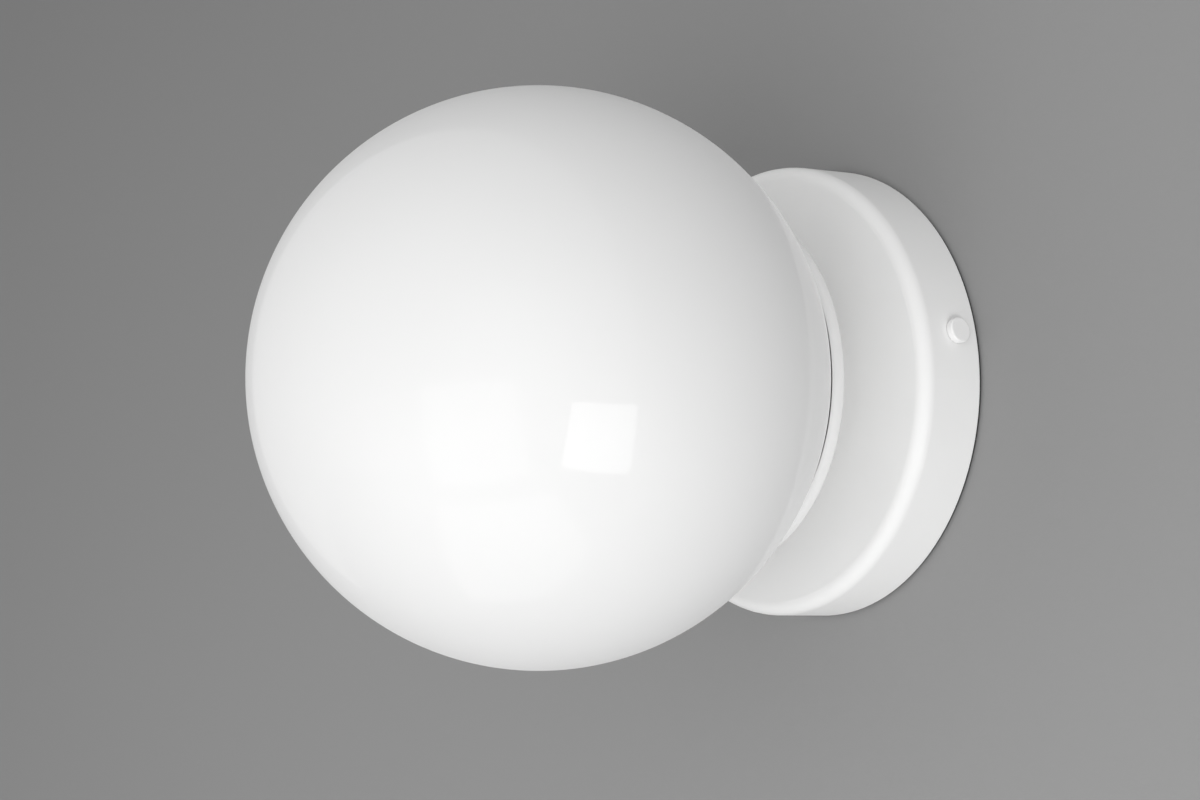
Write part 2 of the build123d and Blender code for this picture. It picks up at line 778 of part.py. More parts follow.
with BuildPart() as holder_skirt:
    mouth_radius = cap_radius + skirt_mouth_gap
    seat_radius_inside = holder_radius - insert_edge_wall
    lip_bottom = shell_bottom + shell_length
    with BuildSketch(SECTION) as outline:
        with BuildLine():
            Polyline(
                (seat_radius_inside, insert_bottom),
                (holder_radius, insert_bottom),
                (holder_radius, skirt_top),
                (mouth_radius, skirt_top),
                (mouth_radius, lip_bottom),
                (shell_outer_radius, lip_bottom),
                (shell_outer_radius, insert_top),
                (seat_radius_inside, insert_top),
                close=True,
            )
        make_face()
        fillet(outline.vertices().sort_by_distance((holder_radius, skirt_top))[0], radius=2.0)
        for groove in range(skirt_groove_count):
            groove_middle = insert_top + skirt_groove_pitch * (groove + 1)
            with Locations((holder_radius, groove_middle)):
                Rectangle(2 * skirt_groove_depth, skirt_groove_width, mode=Mode.SUBTRACT)
    revolve(axis=Axis.Y)
holder_skirt.part.label = "holder_skirt"
export_step(holder_skirt.part, "parts/holder_skirt.step")

# ---------------------------------------------------------------- lamp

with BuildPart() as contact_pip:
    with BuildSketch(off_wall(pip_tip)):
        Circle(pip_radius)
    extrude(amount=pip_height)
    fillet(contact_pip.edges().filter_by(GeomType.CIRCLE).group_by(Axis.Y)[-1], radius=pip_rounding)
contact_pip.part.label = "contact_pip"
export_step(contact_pip.part, "parts/contact_pip.step")

with BuildPart() as cap_insulator:
    with BuildSketch(SECTION):
        with BuildLine():
            Polyline(
                (0, insulator_bottom),
                (insulator_base_radius, insulator_bottom),
                (insulator_top_radius, cap_bottom),
                (0, cap_bottom),
                close=True,
            )
        make_face()
    revolve(axis=Axis.Y)
cap_insulator.part.label = "cap_insulator"
export_step(cap_insulator.part, "parts/cap_insulator.step")

with BuildPart() as lamp_cap:
    with BuildSketch(SECTION) as outline:
        with BuildLine():
            Polyline(
                (cap_base_radius, cap_bottom),
                (cap_radius, cap_bottom),
                (cap_radius, cap_top),
                (cap_radius - cap_sheet, cap_top),
                (cap_radius - cap_sheet, cap_bottom + cap_sheet),
                (cap_base_radius, cap_bottom + cap_sheet),
                close=True,
            )
        make_face()
        chamfer(outline.vertices().sort_by_distance((cap_radius, cap_bottom))[0], length=cap_sheet / 2)
    revolve(axis=Axis.Y)
lamp_cap.part.label = "lamp_cap"
export_step(lamp_cap.part, "parts/lamp_cap.step")

with BuildPart() as lamp_housing:
    rim_radius = sqrt(lamp_radius**2 - (bulb_centre - housing_top) ** 2)
    foot_height = cap_top + turning_gap
    collar_height = foot_height + housing_collar
    middle = ((housing_foot_radius + rim_radius) / 2 + housing_swell, (collar_height + housing_top) / 2)
    with BuildSketch(SECTION):
        with BuildLine():
            Line((cap_radius - cap_sheet, housing_bottom), (cap_radius - cap_sheet, foot_height))
            Polyline(
                (cap_radius - cap_sheet, foot_height),
                (housing_foot_radius, foot_height),
                (housing_foot_radius, collar_height),
            )
            ThreePointArc((housing_foot_radius, collar_height), middle, (rim_radius, housing_top))
            Line((rim_radius, housing_top), (rim_radius - lamp_wall, housing_top))
            ThreePointArc(
                (rim_radius - lamp_wall, housing_top),
                (middle[0] - lamp_wall, middle[1]),
                (cap_radius - cap_sheet - lamp_wall, collar_height),
            )
            Polyline(
                (cap_radius - cap_sheet - lamp_wall, collar_height),
                (cap_radius - cap_sheet - lamp_wall, housing_bottom),
                (cap_radius - cap_sheet, housing_bottom),
            )
        make_face()
    revolve(axis=Axis.Y)
lamp_housing.part.label = "lamp_housing"
export_step(lamp_housing.part, "parts/lamp_housing.step")

with BuildPart() as lamp_diffuser:
    inner_radius = lamp_radius - lamp_wall
    inner_rim = sqrt(inner_radius**2 - (bulb_centre - housing_top) ** 2)
    with BuildSketch(SECTION):
        with BuildLine():
            ThreePointArc((rim_radius, housing_top), (lamp_radius, bulb_centre), (0, lamp_tip))
            Line((0, lamp_tip), (0, lamp_tip - lamp_wall))
            ThreePointArc((0, lamp_tip - lamp_wall), (inner_radius, bulb_centre), (inner_rim, housing_top))
            Line((inner_rim, housing_top), (rim_radius, housing_top))
        make_face()
    revolve(axis=Axis.Y)
lamp_diffuser.part.label = "lamp_diffuser"
export_step(lamp_diffuser.part, "parts/lamp_diffuser.step")

# ---------------------------------------------------------------- terminal block

tower_z = [-block_offset - tower_spacing / 2, -block_offset + tower_spacing / 2]
poles = [-pole_pitch, 0.0, pole_pitch]
tower_places = [(x, z) for x in poles for z in tower_z]
block_screw_places = [(-block_screw_x, -block_offset), (block_screw_x, -block_offset)]
block_side = facing_down(0, sleeve_axis_height, -block_offset + block_depth / 2)

with BuildPart() as terminal_block:
    with BuildSketch(off_wall(bracket_thickness)):
        with Locations((0, -block_offset)):
            RectangleRounded(block_length, block_depth, 1.5)
    extrude(amount=block_base_height)
    with BuildSketch(off_wall(bracket_thickness)):
        with Locations(*tower_places):
            Circle(tower_radius)
    extrude(amount=block_height)
    with BuildSketch(off_wall(sleeve_axis_height)):
        with Locations(*tower_places):
            Circle(tower_well_radius)
    extrude(amount=block_height, mode=Mode.SUBTRACT)
    with BuildSketch(off_wall(bracket_thickness)):
        with Locations(*block_screw_places):
            Circle(block_screw_radius + clearance_hole_gap)
    extrude(amount=block_height, mode=Mode.SUBTRACT)
    with BuildSketch(block_side):
        with Locations(*[(x, 0) for x in poles]):
            Circle(sleeve_radius)
    extrude(amount=block_depth, mode=Mode.SUBTRACT)
terminal_block.part.label = "terminal_block"
export_step(terminal_block.part, "parts/terminal_block.step")

with BuildPart() as terminal_sleeves:
    with BuildSketch(facing_down(0, sleeve_axis_height, -block_offset + sleeve_length / 2)):
        with Locations(*[(x, 0) for x in poles]):
            Circle(sleeve_radius)
            Circle(sleeve_bore_radius, mode=Mode.SUBTRACT)
    extrude(amount=sleeve_length)
    with BuildSketch(off_wall(sleeve_axis_height)):
        with Locations(*tower_places):
            Circle(clamp_screw_radius + thread_gap)
    extrude(amount=block_height, mode=Mode.SUBTRACT)
terminal_sleeves.part.label = "terminal_sleeves"
export_step(terminal_sleeves.part, "parts/terminal_sleeves.step")

with BuildPart() as clamp_screws:
    clamp_bottom = sleeve_axis_height + wire_radius + clamp_screw_lift
    with BuildSketch(off_wall(clamp_bottom)):
        with Locations(*tower_places):
            Circle(clamp_screw_radius)
    extrude(amount=clamp_screw_length)
    with BuildSketch(off_wall(clamp_bottom + clamp_screw_length)):
        with Locations(*tower_places):
            Rectangle(2 * clamp_screw_radius, clamp_slot_width)
    extrude(amount=-clamp_slot_depth, mode=Mode.SUBTRACT)
clamp_screws.part.label = "clamp_screws"
export_step(clamp_screws.part, "parts/clamp_screws.step")

with BuildPart() as block_screws:
    with BuildSketch(off_wall(bracket_thickness / 10)):
        with Locations(*block_screw_places):
            Circle(block_screw_radius)
    extrude(amount=bracket_thickness + block_base_height - bracket_thickness / 10)
    with BuildSketch(off_wall(bracket_thickness + block_base_height)):
        with Locations(*block_screw_places):
            Circle(block_screw_head_radius)
    extrude(amount=block_screw_head_height)
    fillet(block_screws.edges().filter_by(GeomType.CIRCLE).group_by(Axis.Y)[0], radius=0.6)
    with BuildSketch(off_wall(bracket_thickness + block_base_height + block_screw_head_height)):
        with Locations(*block_screw_places):
            Rectangle(2 * block_screw_head_radius, clamp_slot_width)
    extrude(amount=-clamp_slot_depth, mode=Mode.SUBTRACT)
block_screws.part.label = "block_screws"
export_step(block_screws.part, "parts/block_screws.step")

# ---------------------------------------------------------------- earth terminal

with BuildPart() as earth_ring:
    with BuildSketch(off_wall(bracket_thickness)):
        with Locations((earth_x, earth_z)):
            Circle(ring_radius)
        with Locations((earth_x, earth_z - ring_radius)):
            Rectangle(2 * barrel_radius, ring_radius)
        with Locations((earth_x, earth_z)):
            Circle(earth_screw_radius + thread_gap, mode=Mode.SUBTRACT)
    extrude(amount=ring_thickness)
    with BuildSketch(facing_down(earth_x, earth_barrel_height, earth_z - ring_radius - barrel_radius)):
        Circle(barrel_radius)
    extrude(amount=barrel_length)
    add(earth_wire.part, mode=Mode.SUBTRACT)
earth_ring.part.label = "earth_ring"
export_step(earth_ring.part, "parts/earth_ring.step")

with BuildPart() as earth_washer:
    with BuildSketch(off_wall(bracket_thickness + ring_thickness)):
        with Locations((earth_x, earth_z)):
            Circle(earth_washer_radius)
            Circle(earth_screw_radius + thread_gap, mode=Mode.SUBTRACT)
    extrude(amount=earth_washer_thickness)
earth_washer.part.label = "earth_washer"
export_step(earth_washer.part, "parts/earth_washer.step")

with BuildPart() as earth_screw:
    head_bottom = bracket_thickness + ring_thickness + earth_washer_thickness
    with BuildSketch(off_wall(bracket_thickness / 10)):
        with Locations((earth_x, earth_z)):
            Circle(earth_screw_radius)
    extrude(amount=head_bottom - bracket_thickness / 10)
    with BuildSketch(off_wall(head_bottom)):
        with Locations((earth_x, earth_z)):
            Circle(earth_head_radius)
    extrude(amount=earth_head_height)
    fillet(earth_screw.edges().filter_by(GeomType.CIRCLE).group_by(Axis.Y)[0], radius=earth_head_rounding)
    with BuildSketch(off_wall(head_bottom + earth_head_height)):
        with Locations((earth_x, earth_z)):
            Rectangle(2 * earth_head_radius, earth_slot_width)
    extrude(amount=-earth_slot_depth, mode=Mode.SUBTRACT)
earth_screw.part.label = "earth_screw"
export_step(earth_screw.part, "parts/earth_screw.step")

print(f"lip front {lip_front:.2f}, globe centre {globe_centre:.2f}, cone {degrees(cone_angle):.2f} degrees")
print(f"pip tip {pip_tip:.2f}, lamp tip {lamp_tip:.2f}, bulb centre {bulb_centre:.2f}")
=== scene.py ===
import json
from math import cos, pi, radians, sin, sqrt, tan

import bpy
from mathutils import Matrix, Vector


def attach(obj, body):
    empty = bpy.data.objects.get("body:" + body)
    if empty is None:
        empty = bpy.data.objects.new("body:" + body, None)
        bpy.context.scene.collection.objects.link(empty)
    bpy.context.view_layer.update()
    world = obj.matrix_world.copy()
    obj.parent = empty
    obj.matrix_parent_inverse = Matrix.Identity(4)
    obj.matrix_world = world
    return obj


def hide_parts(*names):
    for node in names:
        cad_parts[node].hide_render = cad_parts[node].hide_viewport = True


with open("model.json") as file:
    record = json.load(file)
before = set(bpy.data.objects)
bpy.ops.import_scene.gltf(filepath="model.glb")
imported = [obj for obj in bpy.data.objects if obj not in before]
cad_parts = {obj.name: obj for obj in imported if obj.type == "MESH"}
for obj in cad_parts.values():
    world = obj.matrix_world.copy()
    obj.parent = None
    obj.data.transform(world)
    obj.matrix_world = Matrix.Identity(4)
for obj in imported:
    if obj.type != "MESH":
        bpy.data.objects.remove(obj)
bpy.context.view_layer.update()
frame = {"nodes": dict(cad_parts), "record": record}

MM = 0.001
nodes = frame["nodes"]
scene = bpy.context.scene

# ---------------------------------------------------------------- sizes, mm, as the model has them

GLOBE_RADIUS = 100.0
GLOBE_WALL = 3.0
GLOBE_STEPS = 360
GLOBE_CENTRE = 130.0
NECK_RADIUS = 35.2
NECK_INNER = 32.2
NECK_BEAD = 31.6
NECK_END = 31.8
BEAD_TOP = 33.6
BEAD_SLOPE = 0.6
NECK_ROUNDING = 1.0

PLATE_DEPTH = 27.0
GALLERY_RADIUS = 65.0
GALLERY_WALL = 1.2
GALLERY_DISTANCE = 102.16        # from the globe's centre to the gallery's sloping wall
GALLERY_SLOPE = 0.50580          # angle of that wall, in radians
GALLERY_BEND = 1.6
GALLERY_EDGE = 1.2
HUB_INNER = 35.8
LIP_LAND = 0.33
LIP_GAP = 0.4
NIPPLE_HOLE = 5.25

THREAD_PITCH = 3.629
THREAD_STEPS = 110
THREAD_FADE = 3.0
CAP_RADIUS = 13.2
CAP_SHEET = 0.6
CAP_BOTTOM = 57.35
CAP_TOP = 77.85
CAP_BASE = 10.0
CAP_THREAD = 1.0
SHELL_INNER = 13.3
SHELL_OUTER = 14.15
SHELL_BOTTOM = 51.0
SHELL_TOP = 73.0
SHELL_BASE = 10.0
SHELL_FLOOR = 0.5
SHELL_THREAD = 0.55
SHELL_INNER_THREAD = 0.5


# ---------------------------------------------------------------- camera

CAMERA_PLACE = Vector((0.690056, -0.613477, -0.062676))
CAMERA_TURN = radians(53.56)     # from looking along +Y, anticlockwise as seen from above
CAMERA_LIFT = radians(-3.75)     # below zero, it stands low and looks up
CAMERA_LENS, CAMERA_SENSOR = 73.68, 36.0         # mm

CAMERA_RIGHT = Vector((cos(CAMERA_TURN), sin(CAMERA_TURN), 0.0))
CAMERA_BACK = Vector((
    cos(CAMERA_LIFT) * sin(CAMERA_TURN),
    -cos(CAMERA_LIFT) * cos(CAMERA_TURN),
    sin(CAMERA_LIFT),
))
CAMERA_UP = CAMERA_BACK.cross(CAMERA_RIGHT)


def place_camera():
    data = bpy.data.cameras.new("camera")
    data.sensor_width = CAMERA_SENSOR
    data.lens = CAMERA_LENS
    data.clip_start = 0.01
    camera = bpy.data.objects.new("camera", data)
    scene.collection.objects.link(camera)
    turn = Matrix((CAMERA_RIGHT, CAMERA_UP, CAMERA_BACK)).transposed().to_4x4()
    camera.matrix_world = Matrix.Translation(CAMERA_PLACE) @ turn
    scene.camera = camera


place_camera()


# ---------------------------------------------------------------- node helpers

class Shader:
    """A material's node tree, with short ways to add the nodes used here."""

    def __init__(self, name, color, roughness, metallic=0.0):
        self.material = bpy.data.materials.new(name)
        self.material.use_nodes = True
        self.tree = self.material.node_tree
        self.bsdf = self.tree.nodes["Principled BSDF"]
        self.bsdf.inputs["Base Color"].default_value = (*color, 1.0)
        self.bsdf.inputs["Roughness"].default_value = roughness
        self.bsdf.inputs["Metallic"].default_value = metallic
        self.bsdf.inputs["IOR"].default_value = 1.5
        self.coordinates = self.node("ShaderNodeTexCoord").outputs["Object"]

    def node(self, kind, **values):
        made = self.tree.nodes.new(kind)
        for name, value in values.items():
            setattr(made, name, value)
        return made

    def link(self, source, target):
        self.tree.links.new(source, target)

    def noise(self, size_mm, detail=2.0, stretch=(1, 1, 1), distortion=0.0):
        """Noise whose features are about size_mm across, from 0 to 1."""
        mapping = self.node("ShaderNodeMapping")
        mapping.inputs["Scale"].default_value = stretch
        self.link(self.coordinates, mapping.inputs["Vector"])
        made = self.node("ShaderNodeTexNoise")
        made.inputs["Scale"].default_value = 1.0 / (size_mm * MM)
        made.inputs["Detail"].default_value = detail
        made.inputs["Distortion"].default_value = distortion
        self.link(mapping.outputs["Vector"], made.inputs["Vector"])
        return made.outputs["Fac"]

    def cells(self, size_mm):
        """A random value for each cell of about size_mm."""
        made = self.node("ShaderNodeTexVoronoi")
        made.inputs["Scale"].default_value = 1.0 / (size_mm * MM)
        self.link(self.coordinates, made.inputs["Vector"])
        return made.outputs["Color"]

    def spread(self, value, low, high, start=0.3, end=0.7):
        """A value spread between low and high."""
        made = self.node("ShaderNodeMapRange")
        made.inputs["From Min"].default_value = start
        made.inputs["From Max"].default_value = end
        made.inputs["To Min"].default_value = low
        made.inputs["To Max"].default_value = high
        self.link(value, made.inputs["Value"])
        return made.outputs["Result"]

    def tint(self, value, first, second, start=0.3, end=0.7):
        """A colour that goes from first to second with a value."""
        ramp = self.node("ShaderNodeValToRGB")
        ramp.color_ramp.elements[0].position = start
        ramp.color_ramp.elements[0].color = (*first, 1.0)
        ramp.color_ramp.elements[1].position = end
        ramp.color_ramp.elements[1].color = (*second, 1.0)
        self.link(value, ramp.inputs["Fac"])
        return ramp.outputs["Color"]

    def times(self, first, second):
        """Two colours multiplied."""
        mixed = self.node("ShaderNodeMix", data_type="RGBA", blend_type="MULTIPLY")
        mixed.inputs["Factor"].default_value = 1.0
        self.link(first, mixed.inputs[6])
        self.link(second, mixed.inputs[7])
        return mixed.outputs[2]

    def bump(self, value, depth_mm):
        """Height from a value, added to any bump that is there."""
        made = self.node("ShaderNodeBump")
        made.inputs["Strength"].default_value = 1.0
        made.inputs["Distance"].default_value = depth_mm * MM
        self.link(value, made.inputs["Height"])
        if self.bsdf.inputs["Normal"].is_linked:
            self.link(self.bsdf.inputs["Normal"].links[0].from_socket, made.inputs["Normal"])
        self.link(made.outputs["Normal"], self.bsdf.inputs["Normal"])

    def milky(self, weight, depth_mm):
        """Light that goes a little way into the material, with no tint."""
        self.bsdf.inputs["Subsurface Weight"].default_value = weight
        self.bsdf.inputs["Subsurface Radius"].default_value = (1.0, 1.0, 1.0)
        self.bsdf.inputs["Subsurface Scale"].default_value = depth_mm * MM

    def rough(self, value):
        self.link(value, self.bsdf.inputs["Roughness"])

    def paint(self, value):
        self.link(value, self.bsdf.inputs["Base Color"])


def grey(value):
    return (value, value, value)


def shade(color, factor):
    """A colour made darker or lighter, kept within white."""
    return tuple(min(1.0, channel * factor) for channel in color)


# ---------------------------------------------------------------- materials

def opal_glass():
    """White glass with a soft bloom towards its outline and a clear gloss on top."""
    s = Shader("opal_glass", (0.90, 0.90, 0.89), 0.38)
    s.paint(s.tint(s.noise(70, detail=1.0), (0.838, 0.838, 0.836), (0.853, 0.853, 0.851)))
    s.rough(s.spread(s.noise(25, detail=3.0), 0.34, 0.42))
    s.bsdf.inputs["Specular IOR Level"].default_value = 0.1
    s.bsdf.inputs["Coat Weight"].default_value = 0.40
    s.bsdf.inputs["Coat Roughness"].default_value = 0.04
    s.bsdf.inputs["Sheen Weight"].default_value = 0.6
    s.bsdf.inputs["Sheen Roughness"].default_value = 0.5
    s.bump(s.noise(55, detail=1.0, distortion=0.4), 0.06)
    return s.material


def enamel():
    s = Shader("white_enamel", (0.895, 0.895, 0.89), 0.42)
    s.paint(s.tint(s.noise(30, detail=2.0), (0.875, 0.875, 0.871), (0.89, 0.89, 0.886)))
    s.rough(s.spread(s.noise(4, detail=2.0), 0.36, 0.48))
    s.bsdf.inputs["Specular IOR Level"].default_value = 0.25
    s.bump(s.noise(1.1, detail=2.0), 0.02)
    return s.material


def foam():
    s = Shader("black_foam", (0.03, 0.03, 0.031), 0.9)
    s.paint(s.tint(s.noise(0.6), (0.018, 0.018, 0.019), (0.045, 0.045, 0.046)))
    s.bump(s.noise(0.5, detail=3.0), 0.08)
    return s.material


def rubber():
    s = Shader("black_rubber", (0.03, 0.03, 0.03), 0.6)
    s.rough(s.spread(s.noise(2.0, detail=3.0), 0.5, 0.75))
    s.paint(s.tint(s.noise(6.0), (0.022, 0.022, 0.023), (0.04, 0.04, 0.041)))
    s.bump(s.noise(0.7), 0.02)
    return s.material


def silicone():
    s = Shader("clear_silicone", (0.78, 0.78, 0.75), 0.35)
    s.paint(s.tint(s.noise(8.0), (0.74, 0.74, 0.71), (0.80, 0.80, 0.78)))
    s.rough(s.spread(s.noise(3.0), 0.28, 0.45))
    s.milky(0.4, 2)
    return s.material


def zinc_steel():
    s = Shader("zinc_steel", (0.56, 0.57, 0.59), 0.36, metallic=1.0)
    s.paint(s.tint(s.cells(7.0), (0.50, 0.51, 0.53), (0.62, 0.63, 0.65), 0.1, 0.9))
    s.rough(s.spread(s.cells(7.0), 0.28, 0.46, 0.1, 0.9))
    s.bump(s.noise(0.6, detail=3.0), 0.01)
    return s.material


def spring_steel():
    s = Shader("spring_steel", (0.42, 0.43, 0.45), 0.3, metallic=1.0)
    s.paint(s.tint(s.noise(3.0), (0.37, 0.38, 0.40), (0.47, 0.48, 0.50)))
    s.rough(s.spread(s.noise(1.0, stretch=(0.2, 1, 1)), 0.22, 0.4))
    return s.material


def nickel():
    s = Shader("nickel_steel", (0.66, 0.64, 0.60), 0.2, metallic=1.0)
    s.paint(s.tint(s.noise(2.0), (0.62, 0.60, 0.56), (0.70, 0.68, 0.64)))
    s.rough(s.spread(s.noise(1.0, detail=3.0), 0.14, 0.3))
    return s.material


def brass():
    s = Shader("brass", (0.75, 0.56, 0.27), 0.24, metallic=1.0)
    s.paint(s.tint(s.noise(5.0, detail=3.0), (0.68, 0.49, 0.22), (0.80, 0.62, 0.31)))
    s.rough(s.spread(s.noise(1.5, detail=3.0), 0.16, 0.36))
    return s.material


def tinned_brass():
    s = Shader("tinned_brass", (0.66, 0.66, 0.64), 0.28, metallic=1.0)
    s.paint(s.tint(s.noise(2.0), (0.60, 0.60, 0.58), (0.70, 0.70, 0.68)))
    s.rough(s.spread(s.noise(0.8), 0.2, 0.4))
    return s.material


def thermoset():
    s = Shader("white_thermoset", (0.78, 0.77, 0.73), 0.38)
    s.paint(s.tint(s.noise(12.0), (0.765, 0.755, 0.715), (0.79, 0.78, 0.745)))
    s.rough(s.spread(s.noise(2.5), 0.32, 0.46))
    s.bump(s.noise(0.8), 0.01)
    return s.material


def block_plastic():
    s = Shader("clear_plastic", (0.80, 0.80, 0.76), 0.4)
    s.paint(s.tint(s.noise(6.0), (0.77, 0.77, 0.73), (0.82, 0.82, 0.79)))
    s.rough(s.spread(s.noise(1.6), 0.34, 0.5))
    s.milky(0.3, 2)
    return s.material


def ceramic():
    s = Shader("cream_ceramic", (0.80, 0.76, 0.66), 0.25)
    s.paint(s.tint(s.noise(5.0, detail=4.0), (0.77, 0.73, 0.63), (0.82, 0.79, 0.70)))
    s.rough(s.spread(s.noise(2.0), 0.15, 0.4))
    s.bump(s.noise(0.5), 0.02)
    return s.material


def insulation(name, color):
    s = Shader(name, color, 0.45)
    s.paint(s.tint(s.noise(2.0), shade(color, 0.85), shade(color, 1.15)))
    s.rough(s.spread(s.noise(1.0), 0.38, 0.55))
    return s.material


def striped_insulation():
    s = Shader("green_yellow_insulation", (0.2, 0.4, 0.08), 0.45)
    wave = s.node("ShaderNodeTexWave", wave_type="BANDS", bands_direction="DIAGONAL")
    wave.inputs["Scale"].default_value = 45.0
    wave.inputs["Distortion"].default_value = 0.0
    s.link(s.coordinates, wave.inputs["Vector"])
    s.paint(s.tint(wave.outputs["Fac"], (0.05, 0.30, 0.05), (0.75, 0.62, 0.03), 0.45, 0.5))
    s.rough(s.spread(s.noise(1.0), 0.38, 0.55))
    return s.material


def lamp_cap_metal():
    s = Shader("nickel_cap", (0.72, 0.70, 0.66), 0.22, metallic=1.0)
    s.paint(s.tint(s.noise(6.0, detail=3.0), (0.66, 0.64, 0.60), (0.76, 0.74, 0.70)))
    s.rough(s.spread(s.noise(1.2, detail=3.0), 0.15, 0.34))
    return s.material


def solder():
    s = Shader("solder", (0.55, 0.55, 0.55), 0.45, metallic=1.0)
    s.rough(s.spread(s.noise(1.2, detail=3.0), 0.3, 0.6))
    s.paint(s.tint(s.noise(1.5), (0.48, 0.48, 0.48), (0.60, 0.60, 0.60)))
    s.bump(s.noise(1.5), 0.05)
    return s.material


def black_glass():
    s = Shader("black_glass", (0.02, 0.02, 0.024), 0.12)
    s.rough(s.spread(s.noise(2.0), 0.06, 0.25))
    s.paint(s.tint(s.noise(3.0), (0.014, 0.014, 0.018), (0.03, 0.03, 0.035)))
    return s.material


def lamp_plastic():
    s = Shader("lamp_plastic", (0.84, 0.84, 0.83), 0.32)
    s.paint(s.tint(s.noise(14.0), (0.83, 0.83, 0.82), (0.85, 0.85, 0.842)))
    s.rough(s.spread(s.noise(2.0), 0.27, 0.4))
    s.bump(s.noise(0.7), 0.006)
    return s.material


def lamp_opal():
    s = Shader("lamp_opal", (0.88, 0.88, 0.86), 0.5)
    s.paint(s.tint(s.noise(20.0), (0.87, 0.87, 0.85), (0.89, 0.89, 0.872)))
    s.rough(s.spread(s.noise(1.5), 0.42, 0.55))
    s.milky(0.4, 4)
    return s.material


materials = {
    "opal_glass": opal_glass(),
    "white_enamel": enamel(),
    "black_foam": foam(),
    "black_rubber": rubber(),
    "clear_silicone": silicone(),
    "zinc_steel": zinc_steel(),
    "spring_steel": spring_steel(),
    "nickel_steel": nickel(),
    "brass": brass(),
    "tinned_brass": tinned_brass(),
    "white_thermoset": thermoset(),
    "clear_plastic": block_plastic(),
    "cream_ceramic": ceramic(),
    "brown_insulation": insulation("brown_insulation", (0.16, 0.07, 0.03)),
    "blue_insulation": insulation("blue_insulation", (0.03, 0.13, 0.42)),
    "green_yellow_insulation": striped_insulation(),
    "nickel_cap": lamp_cap_metal(),
    "solder": solder(),
    "black_glass": black_glass(),
    "lamp_plastic": lamp_plastic(),
    "lamp_opal": lamp_opal(),
}

for part in frame["record"]["subparts"]:
    node = nodes[part["node"]]
    node.data.materials.clear()
    node.data.materials.append(materials[part["material_slot"]])


# ---------------------------------------------------------------- mesh helpers

def add_mesh(name, vertices, faces, material):
    mesh = bpy.data.meshes.new(name)
    mesh.from_pydata(vertices, [], faces)
    mesh.update()
    for polygon in mesh.polygons:
        polygon.use_smooth = True
    mesh.materials.append(materials[material])
    obj = bpy.data.objects.new(name, mesh)
    scene.collection.objects.link(obj)
    return obj


def lathe(name, profile, material, segments=256):
    """A closed section of (radius, height off the wall) points, turned about the light's axis."""
    vertices, faces, rings = [], [], []
    for radius, height in profile:
        if radius < 1e-6:
            rings.append([len(vertices)])
            vertices.append((0.0, -height * MM, 0.0))
            continue
        rings.append([len(vertices) + i for i in range(segments)])
        for i in range(segments):
            angle = 2 * pi * i / segments
            vertices.append((radius * cos(angle) * MM, -height * MM, radius * sin(angle) * MM))
    for first, second in zip(rings, rings[1:] + rings[:1]):
        if len(first) == 1 and len(second) == 1:
            continue
        for i in range(segments):
            j = (i + 1) % segments
            if len(first) == 1:
                faces.append((first[0], second[i], second[j]))
            elif len(second) == 1:
                faces.append((first[i], second[0], first[j]))
            else:
                faces.append((first[i], second[i], second[j], first[j]))
    return add_mesh(name, vertices, faces, material)


def arc(centre, radius, start, end, steps):
    """Points on a circle in the section, by angles from the light's axis."""
    points = []
    for i in range(steps + 1):
        angle = start + (end - start) * i / steps
        points.append((centre[0] + radius * sin(angle), centre[1] + radius * cos(angle)))
    return points


# ---------------------------------------------------------------- glass globe

def globe_section():
    inner = GLOBE_RADIUS - GLOBE_WALL
    outside = [
        point for point in arc((0, GLOBE_CENTRE), GLOBE_RADIUS, 0, pi, GLOBE_STEPS)
        if point[1] > GLOBE_CENTRE or point[0] > NECK_RADIUS
    ]
    inside = [
        point for point in arc((0, GLOBE_CENTRE), inner, pi, 0, GLOBE_STEPS)
        if point[1] > GLOBE_CENTRE or point[0] > NECK_INNER
    ]
    neck = [(NECK_RADIUS, GLOBE_CENTRE - sqrt(GLOBE_RADIUS ** 2 - NECK_RADIUS ** 2))]
    neck += arc((NECK_RADIUS - NECK_ROUNDING, NECK_END + NECK_ROUNDING), NECK_ROUNDING, pi / 2, pi, 6)
    neck += arc((NECK_BEAD + NECK_ROUNDING, NECK_END + NECK_ROUNDING), NECK_ROUNDING, pi, 3 * pi / 2, 6)
    neck += [
        (NECK_BEAD, BEAD_TOP),
        (NECK_INNER, BEAD_TOP + BEAD_SLOPE),
        (NECK_INNER, GLOBE_CENTRE - sqrt(inner ** 2 - NECK_INNER ** 2)),
    ]
    return outside + neck + inside


globe = lathe("globe_glass", globe_section(), "opal_glass", segments=288)
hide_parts("globe")
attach(globe, "globe")


# ---------------------------------------------------------------- gallery

def rounded(points, radii, steps=6):
    """A closed section with some corners, by number, rounded to a radius."""
    result = []
    for i, (x, y) in enumerate(points):
        if i not in radii:
            result.append((x, y))
            continue
        corner = Vector((x, y))
        back = (Vector(points[i - 1]) - corner).normalized()
        ahead = (Vector(points[(i + 1) % len(points)]) - corner).normalized()
        half = back.angle(ahead) / 2
        centre_point = corner + (back + ahead).normalized() * radii[i] / sin(half)
        start = corner + back * radii[i] / tan(half) - centre_point
        sweep = pi - 2 * half
        if start.x * ahead.y - start.y * ahead.x < 0:
            sweep = -sweep
        for k in range(steps + 1):
            turn = sweep * k / steps
            result.append((
                centre_point.x + start.x * cos(turn) - start.y * sin(turn),
                centre_point.y + start.x * sin(turn) + start.y * cos(turn),
            ))
    return result


def cone_height(distance, radius):
    """Height of the gallery's sloping wall, a cone that touches a ball round the globe's centre."""
    return GLOBE_CENTRE - (distance - radius * sin(GALLERY_SLOPE)) / cos(GALLERY_SLOPE)


def ball_height(radius, out):
    return GLOBE_CENTRE - sqrt(radius ** 2 - out ** 2)


